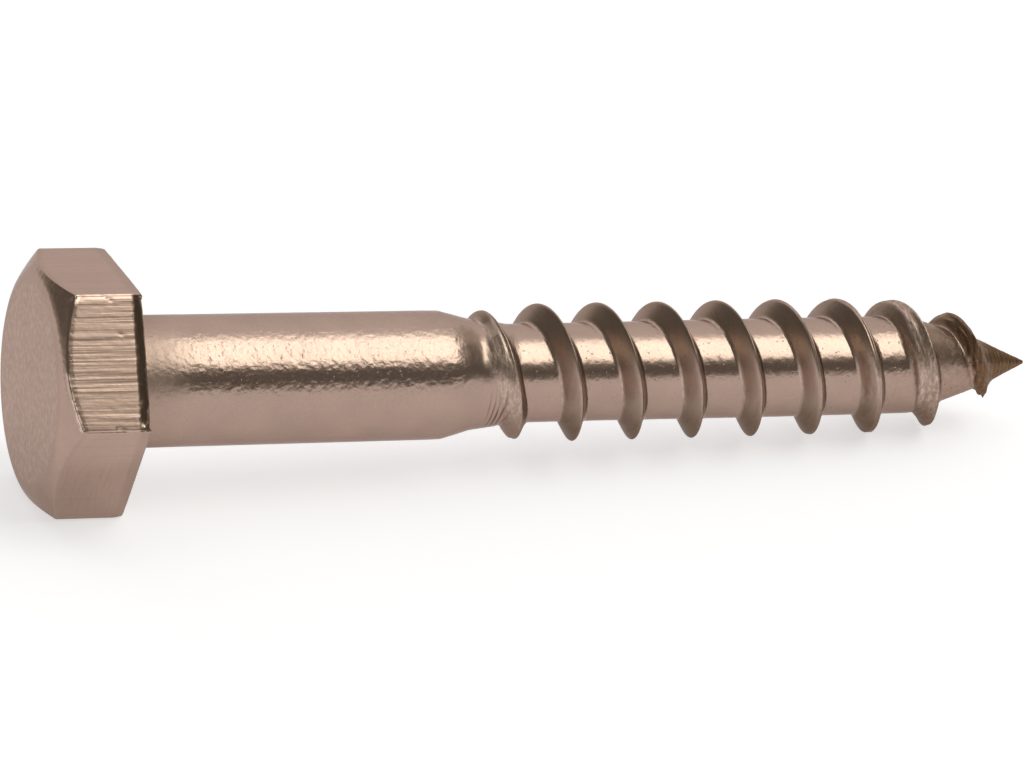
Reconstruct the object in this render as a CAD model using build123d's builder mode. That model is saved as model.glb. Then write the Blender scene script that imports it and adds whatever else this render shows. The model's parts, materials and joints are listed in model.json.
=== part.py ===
from build123d import *
import math
import os

# Hex lag screw, M8 x 55: one piece of stainless steel, cold headed and thread rolled.
# It lies as it comes to rest on a table, on one flat of its head and one crest of its
# thread. The origin is the centre of the bearing face under the head, +X runs towards
# the point and +Z is up. Sizes are in millimetres and degrees, and a station is a
# distance along the screw's axis from the bearing face.

# Head
across_flats = 13.0
head_height = 4.8
crown_inset = 0.45          # from a flat to the edge of the round crown face
crown_angle = 35.0          # of the chamfer cone, measured from the crown face
underhead_fillet = 0.4      # between the bearing face and the shank

# Shank
screw_length = 55.0         # bearing face to the tip
shank_diameter = 7.3
plain_length = 18.9         # bearing face to the shoulder
shoulder_length = 3.1
shoulder_hollow = 0.1       # depth of the shoulder's side below a straight cone
neck_length = 0.6           # from the foot of the shoulder down to the root
neck_step = 0.15            # height of that foot above the root

# Thread
pitch = 3.6
crest_diameter = 7.8
root_diameter = 5.6
crest_land = 0.2            # width of the flat crest
flank_angle = 32.0          # from a plane square to the axis
thread_delay = 0.85         # from the shoulder's start to where the ridge sets out
run_in_length = 5.2         # along which the crest climbs to its full radius

# Gimlet point
nose_length = 7.4           # along which the core narrows to the tip
tip_length = 2.9            # the steeper end of the nose
tip_base_diameter = 2.9     # of the core where that end starts
tip_radius = 0.12
nose_ridge_height = 1.0     # of the crest above the nose
fade_length = 3.0           # along which the ridge dies away on the nose
bare_length = 1.9           # of the tip beyond the ridge

# Drawing of the ridge
sections_per_turn = 12
foot_depth = 0.15           # share of the core's radius that the ridge is sunk into it
end_depth = 0.08            # of the crest below the surface at both ends of the ridge

crown_radius = across_flats / 2 - crown_inset
shank_radius = shank_diameter / 2
crest_radius = crest_diameter / 2
root_radius = root_diameter / 2
shoulder_foot = root_radius + neck_step
shoulder_end = plain_length + shoulder_length
thread_start = plain_length + thread_delay
thread_end = screw_length - bare_length
nose_start = screw_length - nose_length
tip_base_radius = tip_base_diameter / 2
tip_start = screw_length - tip_length


def shoulder_radius(station):
    """Radius of the shoulder: a straight cone less a parabola."""
    share = (station - plain_length) / shoulder_length
    cone = shank_radius + (shoulder_foot - shank_radius) * share
    return cone - 4 * shoulder_hollow * share * (1 - share)


def core_radius(station):
    """Radius that the ridge stands on: the root, then the two cones of the nose."""
    if station > tip_start:
        share = (station - tip_start) / tip_length
        return tip_base_radius + (tip_radius - tip_base_radius) * share
    share = max(station - nose_start, 0) / (tip_start - nose_start)
    return root_radius + (tip_base_radius - root_radius) * share


def ridge_radius(station):
    """Radius of the crest: it climbs from the shoulder, runs level and dies on the nose."""
    start_radius = shoulder_radius(thread_start) - end_depth
    climbed = min((station - thread_start) / run_in_length, 1)
    climb = start_radius + (crest_radius - start_radius) * climbed
    eased = min(max((station - nose_start + pitch) / pitch, 0), 1)
    height = crest_radius - root_radius
    height += (nose_ridge_height - height) * eased
    left = min((thread_end - station) / fade_length, 1)
    height = (height + end_depth) * math.sin(math.radians(90 * left)) - end_depth
    return min(climb, core_radius(station) + height)


def resting_tilt():
    """Angle by which the axis drops towards the point when the screw lies on a table."""
    turns = int((thread_end - thread_start) / pitch)
    tilts = []
    for turn in range(1, turns + 1):
        station = thread_start + turn * pitch
        drop = across_flats / 2 - ridge_radius(station)
        tilts.append(math.degrees(math.atan(drop / (station + crest_land / 2))))
    return min(tilts)


# The screw's own plane: its normal is the axis, and its X points to the underside.
axis_direction = Vector(1, 0, 0).rotate(Axis.Y, resting_tilt())
underside = Vector(0, 0, -1).rotate(Axis.Y, resting_tilt())
screw_plane = Plane(origin=(0, 0, 0), x_dir=underside, z_dir=axis_direction)
screw_axis = Axis((0, 0, 0), axis_direction)


def profile_plane(turn):
    """Plane through the axis, turned from the underside: X is the radius, Y the station."""
    radial = underside.rotate(screw_axis, 360 * turn)
    return Plane(origin=(0, 0, 0), x_dir=radial, z_dir=radial.cross(axis_direction))


def ridge_section(station):
    """Section of the ridge at a station: a narrow crest and two straight flanks."""
    foot = core_radius(station) * (1 - foot_depth)
    crest = ridge_radius(station)
    half_crest = crest_land / 2
    half_foot = half_crest + (crest - foot) * math.tan(math.radians(flank_angle))
    with BuildSketch(profile_plane((station - thread_start) / pitch)) as section:
        with BuildLine():
            Polyline(
                (foot, station - half_foot),
                (crest, station - half_crest),
                (crest, station + half_crest),
                (foot, station + half_foot),
                close=True,
            )
        make_face()
    return section.sketch


# Hexagon head, with its crown turned down to a cone
with BuildPart() as head:
    with BuildSketch(screw_plane):
        RegularPolygon(across_flats / 2, 6, major_radius=False, rotation=30)
    extrude(amount=-head_height)
    with BuildSketch(profile_plane(0)):
        with BuildLine():
            cone_base = crown_radius + head_height / math.tan(math.radians(crown_angle))
            Polyline((0, -head_height), (crown_radius, -head_height), (cone_base, 0), (0, 0), close=True)
        make_face()
    revolve(axis=screw_axis, mode=Mode.INTERSECT)

# Shank, shoulder, root and gimlet point, turned from one profile
with BuildPart() as core:
    with BuildSketch(profile_plane(0)):
        with BuildLine():
            Line((0, -head_height / 2), (shank_radius, -head_height / 2))
            Line((shank_radius, -head_height / 2), (shank_radius, plain_length))
            shoulder_middle = plain_length + shoulder_length / 2
            ThreePointArc(
                (shank_radius, plain_length),
                (shoulder_radius(shoulder_middle), shoulder_middle),
                (shoulder_foot, shoulder_end),
            )
            Line((shoulder_foot, shoulder_end), (root_radius, shoulder_end + neck_length))
            Line((root_radius, shoulder_end + neck_length), (root_radius, nose_start))
            Line((root_radius, nose_start), (tip_base_radius, tip_start))
            Line((tip_base_radius, tip_start), (tip_radius, screw_length))
            Line((tip_radius, screw_length), (0, screw_length))
            Line((0, screw_length), (0, -head_height / 2))
        make_face()
    revolve(axis=screw_axis)

# The ridge, lofted turn by turn through sections set round the axis
with BuildPart() as ridge:
    turn_count = math.ceil((thread_end - thread_start) / pitch)
    step = (thread_end - thread_start) / (turn_count * sections_per_turn)
    for turn in range(turn_count):
        first = turn * sections_per_turn
        numbers = range(first, first + sections_per_turn + 1)
        loft([ridge_section(thread_start + number * step) for number in numbers])

with BuildPart() as lag_screw:
    add(head.part)
    add(core.part)
    underhead_edge = lag_screw.edges().filter_by(GeomType.CIRCLE).sort_by_distance((0, 0, 0))[0]
    fillet(underhead_edge, underhead_fillet)
    add(ridge.part)

lag_screw.part.label = "lag_screw"
os.makedirs("parts", exist_ok=True)
export_step(lag_screw.part, "parts/lag_screw.step")
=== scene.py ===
"""A hex lag screw: one piece of stainless steel, cold headed, trimmed and thread rolled.

The screw is one closed skin. It is worked out in its own cylinder of coordinates: the
station is the distance along the axis from the bearing face towards the point, the radius
is the distance from the axis, and the angle starts at the underside and grows by the right
hand rule about the axis. Those sizes are in millimetres and radians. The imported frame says
where the axis lies, and the finished skin is in metres, in the frame of the CAD part.
"""

import json
import logging
import math
from dataclasses import dataclass, field
from enum import Enum
from typing import Any

import bpy
import numpy as np
from mathutils import Matrix, Vector

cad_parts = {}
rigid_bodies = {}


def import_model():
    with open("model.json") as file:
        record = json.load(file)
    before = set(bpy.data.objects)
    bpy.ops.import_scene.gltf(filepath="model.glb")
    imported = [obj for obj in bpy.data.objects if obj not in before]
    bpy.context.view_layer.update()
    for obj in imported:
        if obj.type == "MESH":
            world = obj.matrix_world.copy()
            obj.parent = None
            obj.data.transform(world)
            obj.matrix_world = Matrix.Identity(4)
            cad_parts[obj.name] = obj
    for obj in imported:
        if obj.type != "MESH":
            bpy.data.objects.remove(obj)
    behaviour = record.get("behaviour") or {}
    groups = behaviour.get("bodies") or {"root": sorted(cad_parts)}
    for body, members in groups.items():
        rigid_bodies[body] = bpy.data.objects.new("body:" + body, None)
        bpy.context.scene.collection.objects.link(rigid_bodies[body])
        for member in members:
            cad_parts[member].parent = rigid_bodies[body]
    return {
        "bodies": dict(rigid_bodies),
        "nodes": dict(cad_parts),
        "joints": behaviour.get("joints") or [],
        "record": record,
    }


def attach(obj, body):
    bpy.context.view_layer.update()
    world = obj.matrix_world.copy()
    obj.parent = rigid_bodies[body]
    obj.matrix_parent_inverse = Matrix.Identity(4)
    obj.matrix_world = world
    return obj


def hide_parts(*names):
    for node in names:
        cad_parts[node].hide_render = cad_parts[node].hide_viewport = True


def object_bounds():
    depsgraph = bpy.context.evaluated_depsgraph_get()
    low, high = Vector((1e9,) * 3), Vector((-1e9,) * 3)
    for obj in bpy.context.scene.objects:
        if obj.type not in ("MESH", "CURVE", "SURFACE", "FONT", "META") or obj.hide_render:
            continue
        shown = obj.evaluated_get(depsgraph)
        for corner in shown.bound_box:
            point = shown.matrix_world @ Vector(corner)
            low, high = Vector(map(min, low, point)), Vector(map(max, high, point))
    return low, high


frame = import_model()
cad_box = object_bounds()

logging.basicConfig(level=logging.INFO, format="%(name)s: %(message)s")
log = logging.getLogger("lag_screw")

MILLIMETRE = 0.001
TURN = 2.0 * math.pi
WHITE = (1.0, 1.0, 1.0)

# Kinds of sizes. A span is two numbers: the start and the end of an eased step, or the
# middle and the reach of a hump. The four ends of a rise and fall are where it sets in, is
# full, still full, and gone. An outline is stations and radii.
Span = tuple[float, float]
Colour = tuple[float, float, float]
Blob = tuple[float, float, float]
Ends = tuple[float, float, float, float]
Outline = tuple[np.ndarray, np.ndarray]


# ---------------------------------------------------------------- shapes in words


def ease(share: np.ndarray) -> np.ndarray:
    """Eased step: three times the square less twice the cube, held between 0 and 1.

    Args:
        share: How far along the step, 0 at its start and 1 at its end.

    Returns:
        The height of the step, from 0 to 1.
    """
    held = np.clip(share, 0.0, 1.0)
    return held * held * (3.0 - 2.0 * held)


def fade(value: np.ndarray, start: float, end: float) -> np.ndarray:
    """Eased step between two values: 0 at start and beyond, 1 at end and beyond.

    Args:
        value: Where the step is read.
        start: Value at which the step is 0.
        end: Value at which the step is 1; it may lie below start.

    Returns:
        The height of the step, from 0 to 1.
    """
    return ease((value - start) / (end - start))


def hump(value: np.ndarray, middle: float, reach: float) -> np.ndarray:
    """Eased hump: 1 at its middle and 0 at its reach on either side.

    Args:
        value: Where the hump is read.
        middle: Value at the hump's top.
        reach: Distance from the top to where the hump ends.

    Returns:
        The height of the hump, from 0 to 1.
    """
    return ease(1.0 - np.abs(value - middle) / reach)


def rise_and_fall(value: np.ndarray, ends: Ends) -> np.ndarray:
    """Eased rise to 1 between the first two ends, and eased fall to 0 between the last two."""
    first, full, last, gone = ends
    return fade(value, first, full) * fade(value, gone, last)


def bent_line(place: np.ndarray, knots: list[tuple[float, float]], rounding: float) -> np.ndarray:
    """Line of straight stretches whose corners are rounded by parabolas.

    The first stretch runs on for ever. Each later knot adds its change of slope times a
    hinge of the distance past it: 0 before the corner, that distance after it, and
    (distance + rounding) squared / (4 rounding) within the rounding.

    Args:
        place: Where the line is read.
        knots: The line's knots as (place, height).
        rounding: Distance on both sides of a knot within which the corner is rounded.

    Returns:
        The height of the line.
    """
    places, heights = np.array(knots).T
    slopes = np.diff(heights) / np.diff(places)
    line = heights[0] + slopes[0] * (place - places[0])
    for corner, change in zip(places[1:-1], np.diff(slopes)):
        past = place - corner
        arc = np.clip(past + rounding, 0.0, None) ** 2 / (4.0 * rounding)
        line = line + change * np.where(past > rounding, past, arc)
    return line


def round_max(first: np.ndarray, second: np.ndarray, blend: np.ndarray) -> np.ndarray:
    """Larger of two heights, with the corner between them filled by a parabola.

    Args:
        first: One height.
        second: The other height.
        blend: Difference of height within which the corner is filled.

    Returns:
        The larger height, plus (blend - difference) squared / (4 blend) near the corner.
    """
    near = np.clip(blend - np.abs(first - second), 0.0, None)
    return np.maximum(first, second) + near * near / (4.0 * blend)


class Wander:
    """A smooth random field of two numbers, the same on every run.

    Where one field is read more than once, each reading has a shift of its own, so that the
    readings have nothing to do with each other.
    """

    def __init__(self, seed: int) -> None:
        """Draws the heights at the whole numbers.

        Args:
            seed: Number that picks the field.
        """
        self.repeat = 256
        self.heights = np.random.default_rng(seed).uniform(-1.0, 1.0, (self.repeat, self.repeat))

    def at(self, x: np.ndarray, y: np.ndarray | float = 0.0, shift: Span = (0.0, 0.0),
           around: int = 256) -> np.ndarray:
        """Height of the field: those at the four whole numbers around, blended by eased steps.

        Args:
            x: First number.
            y: Second number.
            shift: What is added to both numbers.
            around: Whole number after which the field repeats along the first number.

        Returns:
            The height, from -1 to 1.
        """
        x, y = np.broadcast_arrays(x + shift[0], y + shift[1])
        column, row = np.floor(x).astype(int), np.floor(y).astype(int)
        across, along = ease(x - column), ease(y - row)
        near, far = column % around, (column + 1) % around
        low, high = row % self.repeat, (row + 1) % self.repeat
        below = self.heights[near, low] * (1.0 - across) + self.heights[far, low] * across
        above = self.heights[near, high] * (1.0 - across) + self.heights[far, high] * across
        return below * (1.0 - along) + above * along


# ---------------------------------------------------------------- the skin


class Mark(Enum):
    """What the finish needs to know at each point of the skin, as a named share."""

    SHEARED = "sheared"      # torn by the trimming die, in lines along the axis
    GRAINY = "grainy"        # pitted by tumbling and pickling
    ROLLED = "rolled"        # drawn out in lines round the axis by the thread dies
    # The next mark is fresh metal and also painted highlight: a pale line along the ridge's foot, pale
    # flecks on the crown and pale spots on the facing flat, all fading underneath.
    BRIGHT = "bright"        # fresh metal on a burr or a rubbed crest
    STAINED = "stained"      # heat stain and dirt
    DULL = "dull"            # matt, so that it mirrors little
    FOLDED = "folded"        # wrinkled, where the metal gave way before the thread dies
    # The next mark is mostly painted shade: darkest underneath, left off the lit front, and also laid on
    # the rolled edge, the lower flats and the point.
    PRESSED = "pressed"      # greyed by the thread dies, on the flanks
    # The next mark is painted light: it makes the ridge's flank towards the point paler.
    CLEAN = "clean"          # wiped pale by the thread dies, on the side towards the point


@dataclass
class Patch:
    """Points of the skin in cylinder coordinates, with their marks.

    Attributes:
        station: Distance of each point along the axis.
        radius: Distance of each point from the axis.
        angle: Angle of each point round the axis.
        marks: Share of each mark at the points; a mark left out is 0.
    """

    station: np.ndarray
    radius: np.ndarray
    angle: np.ndarray
    marks: dict[Mark, np.ndarray] = field(default_factory=dict)

    def __post_init__(self) -> None:
        """Gives all the arrays the same shape."""
        arrays = np.broadcast_arrays(self.station, self.radius, self.angle, *self.marks.values())
        self.station, self.radius, self.angle = (np.array(a, float) for a in arrays[:3])
        self.marks = {mark: np.array(a, float) for mark, a in zip(self.marks, arrays[3:])}

    def part(self, chosen: Any) -> "Patch":
        """The points picked by an index, a slice or a mask.

        Args:
            chosen: What numpy takes between square brackets.

        Returns:
            A patch of those points.
        """
        marks = {mark: share[chosen] for mark, share in self.marks.items()}
        return Patch(self.station[chosen], self.radius[chosen], self.angle[chosen], marks)


@dataclass(frozen=True)
class ScrewAxes:
    """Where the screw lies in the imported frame.

    Attributes:
        origin: Centre of the bearing face, in metres.
        along: Unit vector from the head to the point.
        underside: Unit vector to the side that lies on the table.
        side: Unit vector a quarter turn on from the underside.
    """

    origin: np.ndarray
    along: np.ndarray
    underside: np.ndarray
    side: np.ndarray

    @classmethod
    def from_mount(cls, mount: dict[str, Any]) -> "ScrewAxes":
        """Reads the axes from the mount of the bearing face, whose axis is the screw's.

        Args:
            mount: The mount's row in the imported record.

        Returns:
            The axes.
        """
        along = np.array(mount["axis"], float)
        along /= np.linalg.norm(along)
        side = np.array((0.0, 1.0, 0.0))
        return cls(np.array(mount["pos_m"], float), along, np.cross(side, along), side)

    @property
    def tilt(self) -> float:
        """Angle by which the axis drops towards the point."""
        return math.asin(-self.along[2])

    def place(self, patch: Patch) -> np.ndarray:
        """Points of a patch in the frame: origin + station along + radius in its direction.

        Args:
            patch: Points in cylinder coordinates.

        Returns:
            One row of three metres for each point.
        """
        shape = (-1, 1)
        out = np.cos(patch.angle).reshape(shape) * self.underside
        out = out + np.sin(patch.angle).reshape(shape) * self.side
        point = patch.station.reshape(shape) * self.along + patch.radius.reshape(shape) * out
        return self.origin + point * MILLIMETRE


class Skin:
    """A closed surface, sewn ring by ring from the crown to the point."""

    def __init__(self) -> None:
        """Starts with nothing sewn."""
        self.patches: list[Patch] = []
        self.triangles: list[np.ndarray] = []
        self.count = 0

    def add(self, patch: Patch) -> np.ndarray:
        """Takes in the points of a patch.

        Args:
            patch: The points, of any shape.

        Returns:
            The points' numbers, in the same shape.
        """
        self.patches.append(patch.part(np.s_[:]))
        numbers = self.count + np.arange(patch.station.size).reshape(patch.station.shape)
        self.count += patch.station.size
        return numbers

    def sew(self, *corners: np.ndarray) -> None:
        """Makes triangles of three arrays of numbers, and drops those with no area.

        Args:
            corners: The numbers of the first, second and third corners.
        """
        faces = np.stack([np.ravel(c) for c in np.broadcast_arrays(*corners)], axis=1)
        first, second, third = faces.T
        self.triangles.append(faces[(first != second) & (second != third) & (third != first)])

    def sew_grid(self, near: np.ndarray, far: np.ndarray) -> None:
        """Sews a row of points to the next, where a row holds its first point again at its end.

        Args:
            near: Numbers of the rows nearer the crown.
            far: Numbers of the rows nearer the point, in the same columns.
        """
        self.sew(near[..., :-1], near[..., 1:], far[..., 1:])
        self.sew(near[..., :-1], far[..., 1:], far[..., :-1])

    def sew_rings(self, near: np.ndarray, far: np.ndarray) -> None:
        """Sews one ring to the next; one of them may have some whole times the other's points.

        Args:
            near: Numbers of the ring nearer the crown.
            far: Numbers of the ring nearer the point.
        """
        if near.size == far.size:
            self.sew_grid(np.append(near, near[0]), np.append(far, far[0]))
            return
        fine, coarse = (near, far) if near.size > far.size else (far, near)
        share = fine.size // coarse.size
        fine = fine.reshape(coarse.size, share)
        fine = np.concatenate([fine, np.roll(fine[:, :1], -1, axis=0)], axis=1)
        this, following = coarse[:, None], np.roll(coarse, -1)[:, None]
        apex = np.where(np.arange(share) < share // 2, this, following)
        middle = fine[:, share // 2, None]
        if near.size > far.size:
            self.sew(fine[:, :-1], fine[:, 1:], apex)
            self.sew(middle, following, this)
        else:
            self.sew(apex, fine[:, 1:], fine[:, :-1])
            self.sew(this, following, middle)

    def add_rings(self, patch: Patch) -> np.ndarray:
        """Takes in rows of rings and sews each to the next.

        Args:
            patch: Points with one ring in each row.

        Returns:
            The points' numbers, one ring in each row.
        """
        numbers = self.add(patch)
        closed = np.concatenate([numbers, numbers[:, :1]], axis=1)
        self.sew_grid(closed[:-1], closed[1:])
        return numbers

    def shares(self, mark: Mark) -> np.ndarray:
        """Share of one mark at every point.

        Args:
            mark: The mark.

        Returns:
            The share at each point, held between 0 and 1.
        """
        found = [p.marks.get(mark, np.zeros(p.station.shape)).ravel() for p in self.patches]
        return np.clip(np.concatenate(found), 0.0, 1.0)

    def to_mesh(self, name: str, axes: ScrewAxes) -> bpy.types.Mesh:
        """Makes the mesh, smooth and with each mark as an attribute of its points.

        Args:
            name: Name of the mesh.
            axes: Where the screw lies.

        Returns:
            The mesh, in metres.
        """
        points = np.concatenate([axes.place(p) for p in self.patches])
        faces = np.concatenate(self.triangles)
        mesh = bpy.data.meshes.new(name)
        mesh.from_pydata(points.tolist(), [], faces.tolist())
        mesh.polygons.foreach_set("use_smooth", np.ones(len(faces), bool))
        for mark in Mark:
            attribute = mesh.attributes.new(mark.value, "FLOAT", "POINT")
            attribute.data.foreach_set("value", self.shares(mark).astype(np.float32))
        mesh.update()
        return mesh


# ---------------------------------------------------------------- the head


@dataclass
class Head:
    """The hexagon head, trimmed by a die that tore its flats along the axis.

    The trimming leaves fine lines on the flats, a rolled edge where the die went in, at the
    bearing face, and burrs and nicks along the edges of the facing flat. The crown is bare.
    A pace says how many waves of the random field there are in a millimetre, across and
    along. A blob is its station, its distance from an edge of the flat, and its reach.
    """

    across_flats: float = 13.0
    height: float = 4.8
    crown_inset: float = 0.45
    crown_angle: float = math.radians(35.0)
    crown_crease: float = 0.4
    flat_crease: float = 0.09
    corner_round: float = 0.24
    rim_round: float = 0.1
    bearing_ring: float = 5.2

    crown_wave: float = 0.008
    crown_wave_end: float = 4.5
    wave_pace: float = 0.5
    ripple_pace: float = 1.3
    ripple_share: float = 0.4

    tear_depth: float = 0.008
    tear_pace: Span = (4.0, 0.1)
    fine_tear_pace: Span = (8.0, 0.25)
    fine_tear_share: float = 0.4
    tear_corner: float = 0.4
    tear_end: Span = (-0.35, -0.75)
    flat_lane: float = 20.0

    rollover_length: float = 0.62
    rollover_depth: float = 0.17
    rollover_corner: float = 0.12
    rollover_corner_reach: float = 1.6
    rollover_ragged: Span = (0.05, 0.06)
    ragged_pace: Span = (4.0, 1.3)
    other_rollover: float = 0.3
    whole_corner: Span = (0.5, 0.25)
    whole_corner_end: Span = (-0.16, -0.34)

    burr_height: float = 0.035
    burr_back: float = 0.03
    burr_reach: float = 0.1
    burr_start: Span = (0.1, 0.9)
    burr_width: float = 0.24
    burr_slope: float = 0.22
    burr_waver: float = 0.04
    burr_pace: float = 1.7
    widening: float = 0.3
    widening_place: Span = (0.1, 0.42)
    lower_burr_share: float = 0.6

    nick_station: float = -2.2
    nick_slant: float = 0.9
    nick_width: float = 0.13
    nick_length: float = 0.5
    nick_depth: float = 0.07
    chip: Blob = (-1.75, 0.1, 0.28)
    chip_depth: float = 0.07
    pit: Blob = (-1.35, 2.203, 0.16)
    pit_depth: float = 0.025
    corner_blob: Blob = (-0.02, 0.0, 0.34)
    rim_blob: Blob = (-0.38, 0.42, 0.28)
    flat_start: float = 0.2
    sheared_start: float = 0.4
    other_sheared: float = 0.25
    rollover_blend: float = 0.1
    underneath: Span = (0.2, 0.5)

    flats: int = 6
    columns_on_flat: int = 120
    coarse_share: int = 4
    facing_flat: int = 4
    crown_rows: int = 14
    crown_row_step: float = 0.3
    crease_rows: int = 7
    edge_rows: int = 5
    cone_rows: int = 3
    flat_rows: int = 20
    rim_rows: int = 4
    bunching: float = 0.65
    tearing: Wander = field(default_factory=lambda: Wander(3))
    waves: Wander = field(default_factory=lambda: Wander(5))

    @property
    def apothem(self) -> float:
        """Distance from the axis to a flat."""
        return self.across_flats / 2.0

    @property
    def half_flat(self) -> float:
        """Distance from the middle of a flat to its corner."""
        return self.apothem * math.tan(math.pi / self.flats)

    @property
    def crown_radius(self) -> float:
        """Radius of the crown's round face."""
        return self.apothem - self.crown_inset

    @property
    def coarse_angles(self) -> np.ndarray:
        """Angles of the columns of the crown's middle and of the shank, evenly spaced."""
        columns = self.flats * self.columns_on_flat // self.coarse_share
        return TURN * np.arange(columns) / columns - math.pi / self.flats

    @property
    def across(self) -> np.ndarray:
        """Distance of each fine column from the middle of its flat, closer near the corners."""
        share = np.tile(np.arange(self.columns_on_flat) / self.columns_on_flat * 2.0 - 1.0, self.flats)
        return self.half_flat * (0.5 * share + 0.5 * np.sin(share * math.pi / 2.0))

    @property
    def flat_number(self) -> np.ndarray:
        """Flat that each fine column is on; flat 0 lies on the table."""
        return np.repeat(np.arange(self.flats), self.columns_on_flat)

    @property
    def facing(self) -> np.ndarray:
        """Whether each fine column is on the flat that took the most from the die."""
        return self.flat_number == self.facing_flat

    @property
    def from_middle(self) -> np.ndarray:
        """Angle of each fine column from the middle of its flat."""
        return np.arctan(self.across / self.apothem)

    @property
    def angles(self) -> np.ndarray:
        """Angle of each fine column round the axis."""
        return self.flat_number * TURN / self.flats + self.from_middle

    def hexagon(self) -> np.ndarray:
        """Radius of the hexagon at each fine column: flats, with an arc at each corner.

        A flat's radius is the apothem / cos of the angle from its middle. An arc's centre
        is at its distance D on the corner's line, and its radius there is
        D cos a + sqrt(R squared - (D sin a) squared), a being the angle from the corner.

        Returns:
            The radius at each fine column.
        """
        flat = self.apothem / np.cos(self.from_middle)
        corner = math.pi / self.flats
        centre = (self.apothem - self.corner_round) / math.cos(corner)
        from_corner = corner - np.abs(self.from_middle)
        under = self.corner_round**2 - (centre * np.sin(from_corner)) ** 2
        arc = centre * np.cos(from_corner) + np.sqrt(np.clip(under, 0.0, None))
        sideways = self.corner_round * math.sin(corner)
        reach = math.atan2(sideways, centre + self.corner_round * math.cos(corner))
        return np.where(from_corner < reach, arc, flat)

    def crown(self, radius: np.ndarray, angle: np.ndarray) -> Patch:
        """Points of the crown's face: flat, with waves from the heading punch.

        Args:
            radius: Distance from the axis.
            angle: Angle round the axis.

        Returns:
            The points.
        """
        x, y = radius * np.cos(angle), radius * np.sin(angle)
        wave = self.waves.at(x * self.wave_pace, y * self.wave_pace, (40.0, 40.0))
        ripple = self.waves.at(x * self.ripple_pace, y * self.ripple_pace, (90.0, 90.0))
        inner = fade(radius, self.crown_radius, self.crown_wave_end)
        station = -self.height + self.crown_wave * (wave + self.ripple_share * ripple) * inner
        # Pale flecks on the crown: painted highlight.
        marks = {Mark.GRAINY: np.array(0.6), Mark.DULL: np.array(0.35), Mark.BRIGHT: np.array(0.25)}
        return Patch(station, radius, angle, marks)

    def torn_lines(self, lane: np.ndarray, station: np.ndarray) -> np.ndarray:
        """Height of the torn lines: broad ones and fine ones, each drawn out along the axis.

        Args:
            lane: Distance across the flats, with a gap between one flat and the next.
            station: Distance along the axis.

        Returns:
            The height above the flat.
        """
        across, along = self.tear_pace
        broad = self.tearing.at(lane * across, station * along)
        across, along = self.fine_tear_pace
        fine = self.tearing.at(lane * across, station * along, (70.0, 30.0))
        return self.tear_depth * ((1.0 - self.fine_tear_share) * broad + self.fine_tear_share * fine)

    def rolled_edge(self, lane: np.ndarray, station: np.ndarray, to_corner: np.ndarray) -> np.ndarray:
        """Depth of the rolled edge: depth times share + corner depth times share cubed.

        The share is how far in from a ragged line towards the bearing face a point lies.

        Args:
            lane: Distance across the flats, with a gap between one flat and the next.
            station: Distance along the axis.
            to_corner: Distance from the nearer corner of the flat.

        Returns:
            The depth below the flat.
        """
        broad, fine = self.rollover_ragged
        ragged = broad * self.tearing.at(lane * self.ragged_pace[0], shift=(30.0, 7.5))
        ragged = ragged + fine * self.tearing.at(lane * self.ragged_pace[1], shift=(11.0, 17.5))
        into = np.clip(station + self.rollover_length + ragged, 0.0, None) / self.rollover_length
        at_corner = 0.5 + fade(to_corner, self.rollover_corner_reach, 0.0)
        return self.rollover_depth * into + self.rollover_corner * at_corner * into**3

    def burr_bevels(self, across: np.ndarray, station: np.ndarray,
                    edge_station: np.ndarray) -> np.ndarray:
        """Depth of the bevels along the facing flat's long edges, whose width is uneven.

        It is the slope times the distance inside the bevel, and 0 beyond it.

        Args:
            across: Distance from the middle of the flat.
            station: Distance along the axis.
            edge_station: Station at which the flat begins, at the cone.

        Returns:
            The depth below the flat.
        """
        uneven = self.burr_waver * self.tearing.at(station * self.burr_pace, shift=(9.0, 33.5))
        middle, reach = self.widening_place
        upper = self.burr_width + uneven + self.widening * hump(station, edge_station + middle, reach)
        lower = self.lower_burr_share * self.burr_width + uneven
        upper_part = np.clip(upper - (across + self.half_flat), 0.0, None)
        lower_part = np.clip(lower - (self.half_flat - across), 0.0, None)
        return self.burr_slope * (upper_part + lower_part)

    @staticmethod
    def blob(size: Blob, station: np.ndarray, from_edge: np.ndarray) -> np.ndarray:
        """Round hump of the distance from a blob's middle.

        Args:
            size: Station of its middle, distance of its middle from the edge, and reach.
            station: Distance along the axis.
            from_edge: Distance from the same edge of the flat.

        Returns:
            The share, 1 at the middle and 0 at the reach.
        """
        middle, aside, reach = size
        return hump(np.hypot(station - middle, from_edge - aside), 0.0, reach)

    def dents(self, across: np.ndarray, station: np.ndarray) -> np.ndarray:
        """Depth of the facing flat's dents: a slanting nick at its upper edge, a chip and a pit.

        Args:
            across: Distance from the middle of the flat.
            station: Distance along the axis.

        Returns:
            The depth below the flat.
        """
        upper, lower = across + self.half_flat, self.half_flat - across
        nick = hump(station - self.nick_station - self.nick_slant * upper, 0.0, self.nick_width)
        depth = self.nick_depth * nick * hump(upper, 0.0, self.nick_length)
        depth = depth + self.chip_depth * self.blob(self.chip, station, lower)
        return depth + self.pit_depth * self.blob(self.pit, station, upper)

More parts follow.
